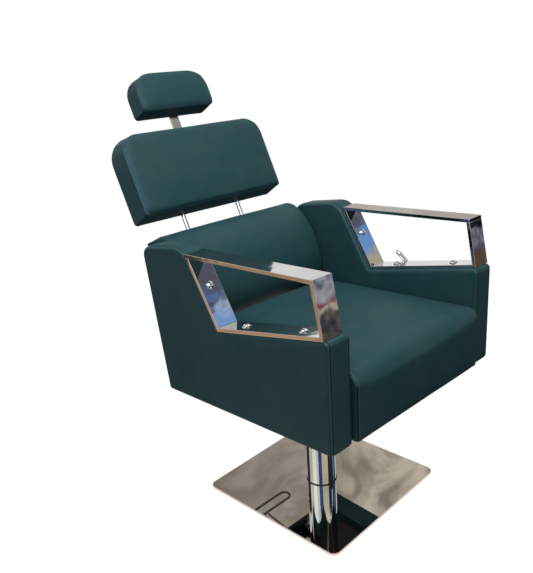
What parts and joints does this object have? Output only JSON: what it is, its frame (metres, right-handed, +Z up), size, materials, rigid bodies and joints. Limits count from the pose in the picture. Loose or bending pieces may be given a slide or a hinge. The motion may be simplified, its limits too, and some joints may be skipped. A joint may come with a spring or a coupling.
{
  "type": "threading chair",
  "caption": "Upholstered salon chair on a hydraulic column, with chrome armrest loops, a reclining two-part back, a sliding headrest and a square base plate.",
  "frame": {"origin": "on the floor, under the column's axis", "axes": "+Z up, the sitter faces -Y, +X to the sitter's left, where the recline lever is"},
  "size_m": [0.6585, 0.9555, 1.1449],
  "materials": {
    "leather": "grained dark teal artificial leather with topstitched seams",
    "chrome": "polished",
    "mirror": "mirror-polished sheet",
    "steel": "plain machined",
    "black_metal": "satin black paint",
    "alloy": "cast",
    "bronze": "machined bearing metal",
    "nylon": "matt",
    "rubber": "matt black",
    "wood": "raw plywood and pine",
    "cloth": "black dust cloth"
  },
  "bodies": {
    "base": {"floor_mat": "rubber", "base_plate": "mirror", "base_screws": "steel", "foot_disc": "steel", "column_gasket": "rubber", "column_tube": "chrome", "ram_rod": "chrome", "ram_piston": "steel", "piston_seal": "rubber"},
    "bearing": {"guide_bush": "nylon"},
    "seat": {"pump_jacket": "chrome", "pressure_tube": "steel", "ram_gland": "bronze", "pump_head": "black_metal", "pedal_pin": "steel", "mounting_plate": "steel", "pump_bolts": "chrome", "seat_rails": "steel", "rail_screws": "steel", "dust_cover": "cloth", "seat_frame": "wood", "seat_board": "wood", "seat_cushion": "leather", "arm_board_left": "wood", "arm_board_right": "wood", "arm_side_left": "leather", "arm_side_right": "leather", "arm_fixing_bolts": "steel", "arm_loop_left": "chrome", "arm_loop_right": "chrome", "loop_bolts_left": "chrome", "loop_bolts_right": "chrome", "hinge_brackets": "black_metal", "hinge_pins": "chrome", "strut_bracket": "alloy", "strut_tube": "black_metal", "lever_bush": "black_metal"},
    "foot_pedal": {"pedal": "chrome"},
    "lever": {"lever_shaft": "steel", "recline_lever": "chrome"},
    "release": {"release_pin": "steel"},
    "strut_piston": {"strut_rod": "chrome"},
    "lower_back": {"hinge_arms": "black_metal", "lumbar_board": "wood", "lumbar_cushion": "leather", "lumbar_cover": "leather", "back_rods": "chrome", "rod_clamps": "steel"},
    "upper_back": {"upper_board": "wood", "upper_cushion": "leather", "upper_cover": "leather", "rod_sockets": "steel", "headrest_guide": "steel"},
    "headrest": {"headrest_strap": "chrome", "headrest_board": "wood", "headrest_cushion": "leather", "headrest_cover": "leather", "strap_screws": "steel"}
  },
  "joints": [
    {"name": "seat_swivel", "type": "hinge", "parent": "base", "child": "bearing", "pos_m": [0, 0, 0.25], "axis": [0, 0, 1], "continuous": true},
    {"name": "seat_lift", "type": "slide", "parent": "bearing", "child": "seat", "axis": [0, 0, 1], "range_m": [0, 0.13]},
    {"name": "pedal_pump", "type": "hinge", "parent": "seat", "child": "foot_pedal", "pos_m": [0, 0.062, 0.3115], "axis": [-1, 0, 0], "range_deg": [0, 22], "stiffness_Nm_per_rad": 6, "springref_deg": -22.92},
    {"name": "lever_turn", "type": "hinge", "parent": "seat", "child": "lever", "pos_m": [0.25, -0.16, 0.4115], "axis": [-1, 0, 0], "range_deg": [0, 15], "stiffness_Nm_per_rad": 2.5, "springref_deg": -20.05},
    {"name": "release_push", "type": "slide", "parent": "seat", "child": "release", "axis": [0, 1, 0], "range_m": [0, 0.005]},
    {"name": "back_recline", "type": "hinge", "parent": "seat", "child": "lower_back", "pos_m": [0, 0.215, 0.4695], "axis": [-1, 0, 0], "range_deg": [-10, 30]},
    {"name": "strut_travel", "type": "slide", "parent": "seat", "child": "strut_piston", "axis": [0, -1, 0], "range_m": [-0.008, 0.0235]},
    {"name": "upper_back_slide", "type": "slide", "parent": "lower_back", "child": "upper_back", "axis": [0, 0.4147, 0.91], "range_m": [-0.03, 0.06]},
    {"name": "headrest_slide", "type": "slide", "parent": "upper_back", "child": "headrest", "axis": [0, 0.4147, 0.91], "range_m": [-0.03, 0.06]}
  ],
  "couplings": [
    {"joint": "release_push", "follows": "lever_turn", "m_per_rad": 0.017},
    {"joint": "strut_travel", "follows": "back_recline", "m_per_rad": 0.0443}
  ]
}
